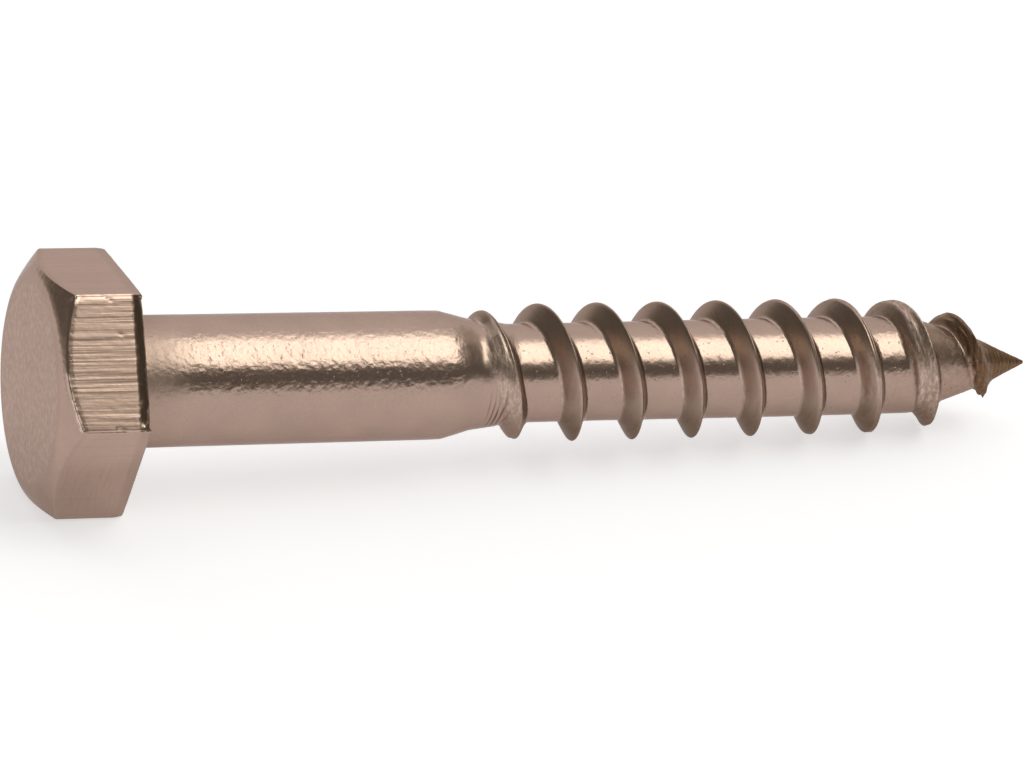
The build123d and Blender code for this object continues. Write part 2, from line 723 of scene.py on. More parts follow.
    def flat_relief(self, station: np.ndarray, edge_station: np.ndarray) -> np.ndarray:
        """Height of the flats above their plane: torn lines less rolled edge, bevels and dents.

        Args:
            station: Stations of rows of points, one column for each fine column.
            edge_station: Station at which each column's flat begins, at the cone.

        Returns:
            The height, at right angles to the flat.
        """
        lane = self.across + self.flat_lane * self.flat_number
        to_corner = self.half_flat - np.abs(self.across)
        torn = fade(to_corner, 0.0, self.tear_corner) * fade(station, *self.tear_end)
        whole = fade(self.half_flat - self.across, *self.whole_corner)
        whole = whole * fade(station, *self.whole_corner_end)
        rolled = np.where(self.facing, 1.0 - whole, self.other_rollover)
        relief = self.torn_lines(lane, station) * torn
        relief = relief - self.rolled_edge(lane, station, to_corner) * rolled
        cut = self.burr_bevels(self.across, station, edge_station) + self.dents(self.across, station)
        return relief - cut * self.facing

    @staticmethod
    def cut_corner(before: Outline, at: Outline, after: Outline, rows: int) -> Outline:
        """Rows round a corner of the profile: (1-v)^2 before + 2v(1-v) corner + v^2 after.

        Args:
            before: Stations and radii where the cut sets out.
            at: Stations and radii of the corner.
            after: Stations and radii where the cut ends.
            rows: Number of rows, with both ends.

        Returns:
            The stations and radii, row by row.
        """
        v = np.linspace(0.0, 1.0, rows)[:, None]
        shares = ((1.0 - v) ** 2, 2.0 * v * (1.0 - v), v**2)
        return tuple(sum(s * p[k] for s, p in zip(shares, (before, at, after))) for k in (0, 1))

    def profile(self, edge_station: np.ndarray) -> Outline:
        """Rows of the profile, which runs along the crown, the cone and the flat of each column.

        Its corners are cut, and the flat's rows draw together towards the bearing face.

        Args:
            edge_station: Station at which each column's flat begins, at the cone.

        Returns:
            The stations and radii, from the crown's crease to the bearing face.
        """
        hexagon = self.hexagon()
        none = np.zeros_like(hexagon)
        top, disc = none - self.height, none + self.crown_radius
        slope_in, slope_out = math.sin(self.crown_angle), math.cos(self.crown_angle)
        cut = self.crown_crease
        crease = self.cut_corner(
            (top, disc - cut), (top, disc),
            (top + cut * slope_in, disc + cut * slope_out), self.crease_rows)
        cut = self.flat_crease
        edge = self.cut_corner(
            (edge_station - cut * slope_in, hexagon - cut * slope_out), (edge_station, hexagon),
            (edge_station + cut, hexagon), self.edge_rows)
        share = np.linspace(0.0, 1.0, self.cone_rows + 2)[1:-1, None]
        cone = tuple(a[-1] + (b[0] - a[-1]) * share for a, b in zip(crease, edge))
        share = np.linspace(0.0, 1.0, self.flat_rows + 1)[1:, None]
        share = (1.0 - self.bunching) * share + self.bunching * np.sin(share * math.pi / 2.0)
        first = edge[0][-1]
        flat = (first + (-self.rim_round - first) * share, hexagon + 0.0 * share)
        cut = self.rim_round
        rim = self.cut_corner(
            (none - cut, hexagon), (none, hexagon),
            (none, hexagon - cut), self.rim_rows)
        inner = (none[None], (hexagon - 2.0 * cut)[None])
        rows = (crease, cone, edge, flat, (rim[0][1:], rim[1][1:]), inner)
        return np.concatenate([r[0] for r in rows]), np.concatenate([r[1] for r in rows])

    def sides(self) -> Patch:
        """Rows of points from the crown's crease over the cone and the flats to the bearing face.

        Returns:
            The points, with one ring in each row.
        """
        edge_station = -self.height + (self.hexagon() - self.crown_radius) * math.tan(self.crown_angle)
        station, radius = self.profile(edge_station)
        on_flat = fade(station, edge_station, edge_station + self.flat_start)
        radius = radius + self.flat_relief(station, edge_station) / np.cos(self.from_middle) * on_flat
        burr = hump(station, edge_station - self.burr_back, self.burr_reach)
        burr = burr * fade(self.across, *self.burr_start) * self.facing
        radius = radius + self.burr_height * burr

        corner_blob = self.blob(self.corner_blob, station - edge_station, self.across + self.half_flat)
        rim_blob = self.blob(self.rim_blob, station, self.half_flat - self.across)
        torn = fade(station + self.rollover_length, self.rollover_blend, -self.rollover_blend)
        sheared = fade(station, edge_station, edge_station + self.sheared_start) * torn
        # Darker on the flats that face the table and on the rolled edge: painted shade.
        below = 0.3 * on_flat * fade(np.cos(self.angles), *self.underneath)
        rolled = np.where(self.facing, 1.0 - torn, below)
        marks = {
            Mark.SHEARED: sheared * np.where(self.facing, 1.0, self.other_sheared),
            Mark.PRESSED: rolled * fade(station, 0.0, -self.rim_round),
            # Pale burr and spots on the facing flat: fresh metal, and painted highlight.
            Mark.BRIGHT: (0.9 * burr + corner_blob + 0.8 * rim_blob) * self.facing,
            Mark.GRAINY: 0.3 + 0.3 * (1.0 - on_flat),
        }
        return Patch(station, radius, self.angles, marks)

    def sew_to(self, skin: Skin, seat_radius: float) -> np.ndarray:
        """Sews the head into the skin, from the crown's middle to the foot of the shank.

        Args:
            skin: The skin to add to.
            seat_radius: Radius on the bearing face where the shank's fillet sets out.

        Returns:
            The numbers of the ring at that radius.
        """
        middle = skin.add(self.crown(np.zeros(1), np.zeros(1)))
        outer = self.crown_radius - self.crown_crease - self.crown_row_step
        radii = np.linspace(self.crown_row_step, outer, self.crown_rows)[:, None]
        disc = skin.add_rings(self.crown(radii, self.coarse_angles))
        skin.sew(middle, np.roll(disc[0], -1), disc[0])
        sides = skin.add_rings(self.sides())
        skin.sew_rings(disc[-1], sides[0])
        plain = {Mark.GRAINY: np.array(0.3)}
        bearing = skin.add(Patch(np.zeros(1), np.array(self.bearing_ring), self.angles, plain))
        skin.sew_rings(sides[-1], bearing)
        seat = skin.add(Patch(np.zeros(1), np.array(seat_radius), self.coarse_angles, plain))
        skin.sew_rings(bearing, seat)
        return seat


# ---------------------------------------------------------------- shank, thread and point


@dataclass
class Core:
    """The turned form that the ridge stands on: shank, shoulder, root and gimlet point.

    A pace says how many waves of the random field there are in a turn and in a millimetre,
    and a height is what they have on the root and what they gain towards the point. A band
    is where a mark sets in, counted from the start of the nose or of the tip.
    """

    shank_radius: float
    length: float
    taper: float = 0.04
    shoulder_start: float = 18.8
    shoulder_middle: float = 20.5
    shoulder_middle_radius: float = 3.14
    shoulder_foot: float = 21.95
    shoulder_foot_radius: float = 2.97
    root_start: float = 22.9
    root_radius: float = 2.78
    root_swell: float = 0.04
    swell_past_middle: float = 4.0
    nose_start: float = 47.6
    nose_middle: float = 50.3
    nose_middle_radius: float = 1.93
    tip_start: float = 52.0
    tip_start_radius: float = 1.4
    tip_round: float = 0.13
    fillet: float = 0.4
    rounding: float = 0.22

    line_pace: tuple[int, float] = (7, 3.1)
    line_height: Span = (0.006, 0.008)
    fine_line_pace: tuple[int, float] = (16, 8.0)
    fine_line_height: Span = (0.002, 0.01)
    last_turn_band: Span = (-5.0, -0.6)
    nose_band: Span = (-0.8, 0.6)
    tip_band: Span = (-0.4, 0.8)
    bend: Span = (20.2, 1.6)
    neck_shade: Span = (4.0, 0.4)
    scratches: Wander = field(default_factory=lambda: Wander(11))

    def profile(self, station: np.ndarray) -> np.ndarray:
        """Radius of the core at a station: a line of straight stretches with rounded corners.

        Args:
            station: Distance along the axis.

        Returns:
            The radius.
        """
        knots = [
            (0.0, self.shank_radius),
            (self.shoulder_start, self.shank_radius - self.taper),
            (self.shoulder_middle, self.shoulder_middle_radius),
            (self.shoulder_foot, self.shoulder_foot_radius),
            (self.root_start, self.root_radius),
            (self.nose_start, self.root_radius),
            (self.nose_middle, self.nose_middle_radius),
            (self.tip_start, self.tip_start_radius),
            (self.length - self.tip_round, self.tip_round),
            (self.length, 0.0),
        ]
        middle = (self.root_start + self.nose_start) / 2.0
        swell = hump(station, middle + self.swell_past_middle, middle - self.root_start)
        return bent_line(station, knots, self.rounding) + self.root_swell * swell

    def relief(self, station: np.ndarray, angle: np.ndarray) -> np.ndarray:
        """Small waves of the core's surface, drawn round the axis, larger towards the point.

        Args:
            station: Distance along the axis.
            angle: Angle round the axis.

        Returns:
            The height above the turned form.
        """
        round_share = angle / TURN + 1.0
        rolled = fade(station, self.shoulder_start, self.root_start)
        point = fade(station, self.nose_start, self.tip_start)
        around, along = self.line_pace
        lines = self.scratches.at(round_share * around, station * along, around=around)
        lines = (self.line_height[0] + self.line_height[1] * point) * lines
        around, along = self.fine_line_pace
        fine = self.scratches.at(round_share * around, station * along, (0.0, 50.0), around)
        fine = (self.fine_line_height[0] + self.fine_line_height[1] * point) * fine
        return rolled * (lines + fine)

    def marks(self, station: np.ndarray) -> dict[Mark, np.ndarray]:
        """Marks of the core: grainy on the shank, drawn out on the root, dark at the point.

        Args:
            station: Distance along the axis.

        Returns:
            The share of each mark.
        """
        rolled = fade(station, self.shoulder_middle, self.root_start)
        late = fade(station - self.nose_start, *self.last_turn_band)
        nose = fade(station - self.nose_start, *self.nose_band)
        tip = fade(station - self.tip_start, *self.tip_band)
        smooth = 0.7 * hump(station, *self.bend) + 0.8 * tip
        return {
            Mark.GRAINY: (1.0 - 0.5 * rolled * (1.0 - late)) * (1.0 - smooth),
            Mark.ROLLED: rolled * (0.35 + 0.65 * nose),
            Mark.STAINED: 0.08 * late + 0.1 * nose + 0.55 * tip,
            # The point is made darker.
            Mark.PRESSED: 0.9 * tip,
            Mark.FOLDED: 0.9 * tip,
            Mark.DULL: 1.5 * fade(station, *self.neck_shade) - 0.1 * rolled + 0.45 * nose,
        }


@dataclass
class Life:
    """What has become of the ridge at each point, as shares that run along its turns.

    Attributes:
        worn: Rounded off, on the first turn.
        lapped: Lapped over at the crest, on the last full turns.
        late: On the very last full turn, and from there on.
        ragged: Torn, on the nose.
    """

    worn: np.ndarray
    lapped: np.ndarray
    late: np.ndarray
    ragged: np.ndarray

    def weigh(self, worn: float = 0.0, lapped: float = 0.0, late: float = 0.0,
              ragged: float = 0.0) -> np.ndarray:
        """Sum of the shares, each times its own weight."""
        return worn * self.worn + lapped * self.lapped + late * self.late + ragged * self.ragged


@dataclass
class Spot:
    """Points of the skin as the ridge sees them.

    Attributes:
        station: Distance along the axis.
        angle: Angle round the axis.
        turns: Turns run since the ridge's start.
        beside: Distance from the crest along the axis, positive towards the point.
        spread: Width of the crest between its two lips.
        over: Height of the ridge over the core; below 0 the core is the higher.
        life: What has become of the ridge there.
        ridge_edge: Heights over the core between which the ridge's own skin sets in.
        fillet_edge: The same with its fillets.
        foot_reach: Height over the core within which its foot lies.
        lip_reach: Distance from a lip within which its edge lies.
        lips_apart: Widths of the crest between which the lips part.
        lip_blend: Distance beyond a lip at which the band between them ends.
        down: Cosines of the angle between which the underside sets in.
    """

    station: np.ndarray
    angle: np.ndarray
    turns: np.ndarray
    beside: np.ndarray
    spread: np.ndarray
    over: np.ndarray
    life: Life
    ridge_edge: Span = (-0.05, 0.1)
    fillet_edge: Span = (-0.12, 0.06)
    foot_reach: float = 0.12
    lip_reach: float = 0.13
    lips_apart: Span = (0.1, 0.3)
    lip_blend: float = 0.1
    down: Span = (0.1, 0.7)

    @property
    def on_ridge(self) -> np.ndarray:
        """Share to which the skin is the ridge's own."""
        return fade(self.over, *self.ridge_edge)

    @property
    def near_ridge(self) -> np.ndarray:
        """Share to which the skin is the ridge's own, or its fillet's."""
        return fade(self.over, *self.fillet_edge)

    @property
    def towards_head(self) -> np.ndarray:
        """Whether the skin is on the head's side of the middle between the lips."""
        return self.beside < -0.5 * self.spread

    @property
    def foot(self) -> np.ndarray:
        """Share of the line where the ridge stands on the core, on the head's side."""
        return hump(self.over, 0.0, self.foot_reach) * self.towards_head

    @property
    def plateau(self) -> np.ndarray:
        """Share of the band between the lips, where they stand apart."""
        half = 0.5 * self.spread
        between = fade(np.abs(self.beside + half), half + self.lip_blend, half)
        return fade(self.spread, *self.lips_apart) * between

    @property
    def at_lip(self) -> np.ndarray:
        """Share of the lips' own edges."""
        to_lip = np.minimum(np.abs(self.beside), np.abs(self.beside + self.spread))
        return hump(to_lip, 0.0, self.lip_reach) * self.on_ridge

    @property
    def underneath(self) -> np.ndarray:
        """Share to which the skin looks down at the table."""
        return fade(np.cos(self.angle), *self.down)

    def on_side(self, middle: float, reach: float) -> np.ndarray:
        """Share of one side of the screw: an eased hump of the angle, given in degrees."""
        return hump(np.mod(self.angle, TURN), math.radians(middle), math.radians(reach))


@dataclass
class Thread:
    """The rolled ridge: one helix, worn where it starts and lapped where it ends.

    Its crest is at the station start + pitch times the turns run, which are counted from
    the underside. The ridge falls away at the head flank's angle and the point flank's,
    both measured from straight across the axis. A pace says how many waves of the random
    field there are in a turn and, where it has two numbers, in a millimetre. Each density
    says how close the rows of points lie, and how wide about the crest or a fillet.
    """

    crest_radius: float
    start: float = 19.75
    pitch: float = 3.6
    crest_round: float = 0.1
    worn_round: float = 0.13
    worn_width: float = 0.18
    head_flank: float = math.radians(30.5)
    point_flank: float = math.radians(23.0)
    hollow: float = 0.25
    hollow_reach: float = 1.2
    head_fillet: float = 0.13
    point_fillet: float = 0.5
    worn_fillet_growth: float = 1.2
    early_fillet_loss: float = 0.7
    fillet_start: Span = (-0.2, 0.4)
    crest_clearance: float = 0.004
    groove_depth: float = 0.02
    late_groove_depth: float = 0.04
    wobble: float = 0.08
    top_of_turn: float = 0.44

    worn_turns: Ends = (0.48, 0.62, 1.0, 1.3)
    lapped_turns: Ends = (5.4, 6.6, 8.8, 9.0)
    steady_turns: Ends = (0.6, 1.0, 7.6, 8.2)
    late_turns: Span = (7.0, 7.6)
    ragged_turns: Span = (8.2, 8.6)
    early_turns: Span = (0.9, 0.6)
    rubbed_turns: Span = (0.82, 0.72)
    parting_turns: Span = (5.0, 5.4)
    groove_turns: Span = (5.2, 5.8)
    deep_groove_turns: Span = (5.8, 7.2)
    gentle_turns: Span = (0.66, 0.3)
    gentle_share: float = 0.85

    wear_pace: float = 9.0
    wear_height: float = 0.012
    ragged_pace: float = 22.0
    ragged_height: float = 0.04
    nick_pace: Span = (30.0, 7.0)
    dent_pace: Span = (10.0, 2.5)
    seam_pace: Span = (5.0, 11.0)
    fine_seam_pace: Span = (16.0, 18.0)
    rub_pace: Span = (14.0, 3.0)
    folded_side: Span = (300.0, 48.0)
    folded_stations: Span = (21.6, 1.2)
    folds_end: Span = (-0.3, -0.6)
    clean_side: Span = (250.0, 45.0)
    stain_heights: Span = (0.0, 0.25)
    point_side: Span = (0.05, 0.2)
    wiped_heights: Span = (-0.22, -0.04)
    rows_per_turn: int = 35
    even_density: float = 0.5
    crest_density: Span = (2.2, 0.25)
    fillet_density: Span = (0.9, 0.2)
    fillet_place: float = 0.78
    snap: float = 0.015
    waver: Wander = field(default_factory=lambda: Wander(17))

    def crest(self, turns: np.ndarray) -> np.ndarray:
        """Radius of the crest after some turns: it climbs, runs level and dies on the nose.

        Args:
            turns: Turns run since the start.

        Returns:
            The radius.
        """
        full = self.crest_radius
        knots = [
            (0.0, 2.9), (0.37, 3.1), (0.45, 3.7), (0.6, 3.42), (0.74, 3.44), (0.94, 3.71), (1.35, full),
            (7.0, full - 0.01), (7.2, full - 0.06), (7.44, full - 0.13), (7.94, 3.62), (8.44, 2.97),
            (8.94, 1.95), (9.1, 1.5), (9.35, 0.7),
        ]
        level = bent_line(turns, knots, rounding=0.06)
        wear = self.wear_height * self.waver.at(turns * self.wear_pace)
        torn = self.waver.at(turns * self.ragged_pace, shift=(0.0, 9.5))
        wear = wear + self.ragged_height * self.life(turns).ragged * torn
        highest = full - self.crest_clearance + 0.5 * np.clip(wear, -0.02, 0.0)
        return np.minimum(level + wear, highest)

    def life(self, turns: np.ndarray) -> Life:
        """What has become of the ridge after some turns.

        Args:
            turns: Turns run since the start.

        Returns:
            The shares.
        """
        worn, lapped = (rise_and_fall(turns, ends) for ends in (self.worn_turns, self.lapped_turns))
        return Life(worn, lapped, fade(turns, *self.late_turns), fade(turns, *self.ragged_turns))

    def drift(self, turns: np.ndarray) -> np.ndarray:
        """How far the crest has strayed from the helix towards the point.

        It is a bent line less a wobble, which is the cosine of the angle from the top and
        dies away at both ends.

        Args:
            turns: Turns run since the start.

        Returns:
            The distance along the axis.
        """
        knots = [
            (0.6, 0.0), (0.94, 0.12), (1.44, -0.03), (2.44, -0.06), (3.2, 0.03), (4.44, 0.04),
            (4.94, 0.07), (5.44, 0.11), (5.94, 0.17), (6.44, 0.25), (6.94, 0.26), (7.44, 0.32),
            (7.94, 0.31), (8.44, 0.18), (8.94, 0.42), (9.3, 0.45),
        ]
        steady = rise_and_fall(turns, self.steady_turns)
        wobble = self.wobble * steady * np.cos(TURN * (turns - self.top_of_turn))
        return bent_line(turns, knots, rounding=0.1) - wobble

    def spread(self, turns: np.ndarray) -> np.ndarray:
        """Width of the crest between its two lips: worn at the start, lapped at the end.

        Args:
            turns: Turns run since the start.

        Returns:
            The width, from the crest towards the head.
        """
        knots = [
            (5.0, 0.0), (5.2, 0.05), (6.6, 0.15), (7.15, 0.2), (7.45, 0.34), (7.68, 0.85),
            (7.95, 0.85), (8.05, 0.5), (8.3, 0.25), (9.0, 0.2),
        ]
        lapped = np.clip(bent_line(turns, knots, rounding=0.05), 0.0, None)
        return self.life(turns).weigh(worn=self.worn_width) + lapped * fade(turns, *self.parting_turns)

    def lip_drop(self, turns: np.ndarray) -> np.ndarray:
        """How far the lip on the head's side lies below the crest.

        Args:
            turns: Turns run since the start.

        Returns:
            The difference of radius.
        """
        knots = [
            (1.0, 0.07), (5.2, 0.03), (7.4, 0.05), (7.7, 0.42), (7.95, 0.95), (8.15, 0.3), (9.0, 0.1),
        ]
        return bent_line(turns, knots, rounding=0.05)

    def drop(self, beside: np.ndarray, turns: np.ndarray) -> np.ndarray:
        """How far the ridge lies below its crest.

        Between the lips, with t from 0 at the head's lip to 1 at the crest, it is
        lip drop (1 - t) + groove 4 t (1 - t). At a distance e beyond them it is the lip's
        plus (sqrt(e^2 + round^2) - round) / tan of the flank's angle - hollow e^2 / 2. The
        ridge's first turn sets out on a gentler slope on the head's side.

        Args:
            beside: Distance from the crest along the axis, positive towards the point.
            turns: Turns run since the start.

        Returns:
            The difference of radius.
        """
        spread = self.spread(turns)
        share = np.clip(1.0 + beside / np.maximum(spread, 1e-3), 0.0, 1.0)
        depth = self.groove_depth + self.late_groove_depth * fade(turns, *self.deep_groove_turns)
        depth = depth * (0.8 + 0.6 * self.waver.at(turns * self.wear_pace, shift=(0.0, 41.5)))
        groove = fade(turns, *self.groove_turns) * depth * 4.0 * share * (1.0 - share)
        between = (self.lip_drop(turns) * (1.0 - share) + groove) * fade(spread, 0.0, 0.05)
        beyond = np.maximum(beside, -spread - beside).clip(0.0)
        rounding = self.crest_round + self.worn_round * self.life(turns).worn
        slope = 1.0 / np.tan(np.where(beside < 0.0, self.head_flank, self.point_flank))
        straight = (np.sqrt(beyond**2 + rounding**2) - rounding) * slope
        hollow = 0.5 * self.hollow * np.minimum(beyond, self.hollow_reach) ** 2
        gentle = 1.0 - self.gentle_share * hump(turns, *self.gentle_turns) * (beside < 0.0)
        return between + (straight - hollow) * gentle

    def scuff(self, turns: np.ndarray, beside: np.ndarray, tall: np.ndarray) -> np.ndarray:
        """Small heights of the ridge's skin: nicks, dents and seams that run along it.

        Args:
            turns: Turns run since the start.
            beside: Distance from the crest along the axis.
            tall: Height of the crest over the core.

        Returns:
            The height above the ridge's own form.
        """
        life = self.life(turns)

        def waves(pace: Span, shift: float) -> np.ndarray:
            """Random waves at a pace, from a part of the field of their own."""
            return self.waver.at(turns * pace[0], beside * pace[1], (0.0, shift))

        nicks = waves(self.nick_pace, 60.0) * life.weigh(lapped=0.012, ragged=0.055)
        dents = waves(self.dent_pace, 20.0) * life.weigh(late=0.02)
        seams = waves(self.seam_pace, 120.0) + 0.5 * waves(self.fine_seam_pace, 0.0)
        seams = seams * life.weigh(late=0.03, lapped=0.01, worn=0.016) * fade(tall, 0.0, 0.3)
        return nicks + dents + seams

    def surface(self, station: np.ndarray, angle: np.ndarray, core: Core) -> tuple[np.ndarray, dict]:
        """Radius and marks of the skin where the ridge runs.

        The nearest crest's number is the whole number next to
        (station - start) / pitch - angle / turn, and what is left is the distance from it.
        The ridge's radius there is the crest's less its drop, and the skin is the larger
        of that and the core's, with the corner between them filled.

        Args:
            station: Distance along the axis.
            angle: Angle round the axis.
            core: What the ridge stands on.

        Returns:
            The radius, and the share of each mark.
        """
        place = (station - self.start) / self.pitch - angle / TURN
        number = np.round(place)
        turns = number + angle / TURN
        beside = (place - number) * self.pitch - self.drift(turns)
        base = core.profile(station) + core.relief(station, angle)
        tall = self.crest(turns) - base
        over = tall - self.drop(beside, turns) + self.scuff(turns, beside, tall)
        spot = Spot(station, angle, turns, beside, self.spread(turns), over, self.life(turns))

        head_fillet = self.head_fillet * (1.0 + self.worn_fillet_growth * spot.life.worn)
        blend = np.where(spot.towards_head, head_fillet, self.point_fillet)
        blend = blend * (1.0 - self.early_fillet_loss * fade(turns, *self.early_turns))
        radius = round_max(base, base + over, blend * fade(tall, *self.fillet_start) + 1e-4)

        marks = core.marks(station)
        marks[Mark.GRAINY] = marks[Mark.GRAINY] * (1.0 - 0.7 * spot.on_ridge)
        for mark, share in self.marks(spot).items():
            marks[mark] = np.maximum(marks.get(mark, 0.0), share)
        return radius, marks

    def bright(self, spot: Spot) -> np.ndarray:
        """Share of fresh metal on rubbed lips and worn skin, and of painted highlight along the foot on
        the head's side.

        Args:
            spot: The points.

        Returns:
            The share at each point.
        """
        life = spot.life
        round_turn, along = self.rub_pace
        patchy = self.waver.at(spot.turns * round_turn, spot.beside * along, (0.0, 80.0))
        first_turn = life.weigh(worn=0.5) * fade(spot.turns, *self.rubbed_turns)
        rubbed = 0.15 + (first_turn + life.weigh(lapped=0.5)) * fade(patchy, -0.1, 0.6)
        lips = rubbed * spot.at_lip + life.weigh(late=0.4) * spot.plateau
        lips = lips * (1.0 - life.ragged * spot.on_ridge)
        # Painted highlight: a pale line where the ridge stands on the core, on the head's side.
        foot = 0.4 * spot.foot * (1.0 - life.worn) * (1.0 - life.late)
        shown = np.maximum(np.maximum(lips, life.weigh(worn=0.35) * spot.on_ridge), foot)
        # The pale marks fade underneath: painted shade.
        return shown * (1.0 - 0.8 * spot.underneath)

    def folded(self, spot: Spot) -> np.ndarray:
        """Share of wrinkled skin: where the shoulder gave way, and where the ridge is torn.

        Args:
            spot: The points.

        Returns:
            The share at each point.
        """
        shoulder = spot.on_side(*self.folded_side) * hump(spot.station, *self.folded_stations)
        shoulder = shoulder * fade(spot.beside, *self.folds_end)
        torn = spot.life.weigh(worn=0.15, ragged=0.5) + spot.life.weigh(late=0.25) * spot.plateau
        return np.maximum(shoulder, torn * spot.on_ridge)

    def pressed(self, spot: Spot) -> np.ndarray:
        """Share of greyed skin and painted shade: all round but for the lit front, and the most
        underneath.

        Args:
            spot: The points.

        Returns:
            The share at each point.
        """
        life, below = spot.life, spot.underneath
        # Painted shade, darkest underneath and left off the front, where the light falls.
        share = spot.near_ridge * (0.35 * (1.0 - spot.on_side(*self.clean_side)) + 0.65 * below)
        rubbed_clean = life.weigh(late=0.7) * spot.plateau * (1.0 - 0.7 * below)
        return share * (1.0 - rubbed_clean) * (1.0 - life.weigh(worn=0.5))

    def marks(self, spot: Spot) -> dict[Mark, np.ndarray]:
        """Marks of the ridge, which are laid over the core's.

        Args:
            spot: The points.

        Returns:
            The share of each mark.
        """
        life, on_ridge = spot.life, spot.on_ridge
        deep = life.weigh(ragged=0.7) * on_ridge * fade(spot.over, *self.stain_heights)
        ahead = fade(spot.beside, *self.point_side)
        matt = 0.5 + 0.1 * (1.0 - on_ridge) + life.weigh(worn=0.1, late=0.35) + 0.5 * on_ridge * ahead
        # Painted light: the flank towards the point made paler, except on the first turn and the last
        # ones.
        wiped = fade(spot.over, *self.wiped_heights) * (1.0 - life.worn) * (1.0 - life.weigh(late=0.8))
        return {
            Mark.BRIGHT: self.bright(spot),
            Mark.FOLDED: self.folded(spot),
            Mark.STAINED: deep + life.weigh(late=0.1) * spot.plateau,
            Mark.GRAINY: life.weigh(worn=0.9, lapped=0.4, late=0.6) * on_ridge,
            Mark.ROLLED: life.weigh(late=1.2, lapped=0.3) * on_ridge,
            Mark.DULL: spot.near_ridge * matt,
            Mark.PRESSED: self.pressed(spot),
            Mark.CLEAN: wiped * ahead,
        }

    def row_offsets(self) -> np.ndarray:
        """Places of the rows within a turn, as shares of the pitch from the crest.

        They follow a density: even, plus exp(-(distance / width)^2) times a height at the
        crest and at both fillets. Each row takes an equal share of the area under it.

        Returns:
            The places, from -0.5 up to 0.5.
        """
        place = np.linspace(-0.5, 0.5, 2001)
        distance = np.abs(place) * self.pitch
        (crest, crest_width), (fillet, fillet_width) = self.crest_density, self.fillet_density
        crest = crest * np.exp(-((distance / crest_width) ** 2))
        fillets = fillet * np.exp(-(((distance - self.fillet_place) / fillet_width) ** 2))
        area = np.cumsum(self.even_density + crest + fillets)
        area = (area - area[0]) / (area[-1] - area[0])
        return np.interp((np.arange(self.rows_per_turn) + 0.5) / self.rows_per_turn, area, place)

    def sew_to(self, skin: Skin, ring: np.ndarray, angles: np.ndarray, begin: float, end: float,
               core: Core) -> np.ndarray:
        """Sews the stretch with the ridge into the skin, on a grid whose rows follow the helix.

        Row k is at the station start + pitch (k's place + angle / turn), so that a row
        closes on the row one turn further on. Rows are held between the two ends, and the
        triangles that this empties are dropped.

        Args:
            skin: The skin to add to.
            ring: Numbers of the ring at the stretch's beginning.
            angles: Angles of the columns.
            begin: Station of the stretch's beginning.
            end: Station of its end.
            core: What the ridge stands on.

        Returns:
            The numbers of the ring at the end.
        """
        first = math.floor((begin - self.start) / self.pitch - angles[-1] / TURN) - 1
        last = math.ceil((end - self.start) / self.pitch - angles[0] / TURN) + 2
        places = (np.arange(first, last)[:, None] + self.row_offsets()).ravel()
        station = self.start + self.pitch * (places[:, None] + angles / TURN)
        angle = np.broadcast_to(angles, station.shape)
        inside = (station > begin + self.snap) & (station < end - self.snap)

        radius, marks = self.surface(np.full(angles.shape, end), angles, core)
        last_ring = skin.add(Patch(np.full(angles.shape, end), radius, angles, marks))
        radius, marks = self.surface(station[inside], angle[inside], core)
        numbers = np.where(station <= begin + self.snap, ring, last_ring)
        numbers[inside] = skin.add(Patch(station[inside], radius, angle[inside], marks))

        closing = numbers[self.rows_per_turn:, :1]
        closed = np.concatenate([numbers[: len(closing)], closing], axis=1)
        skin.sew_grid(closed[:-1], closed[1:])
        return last_ring


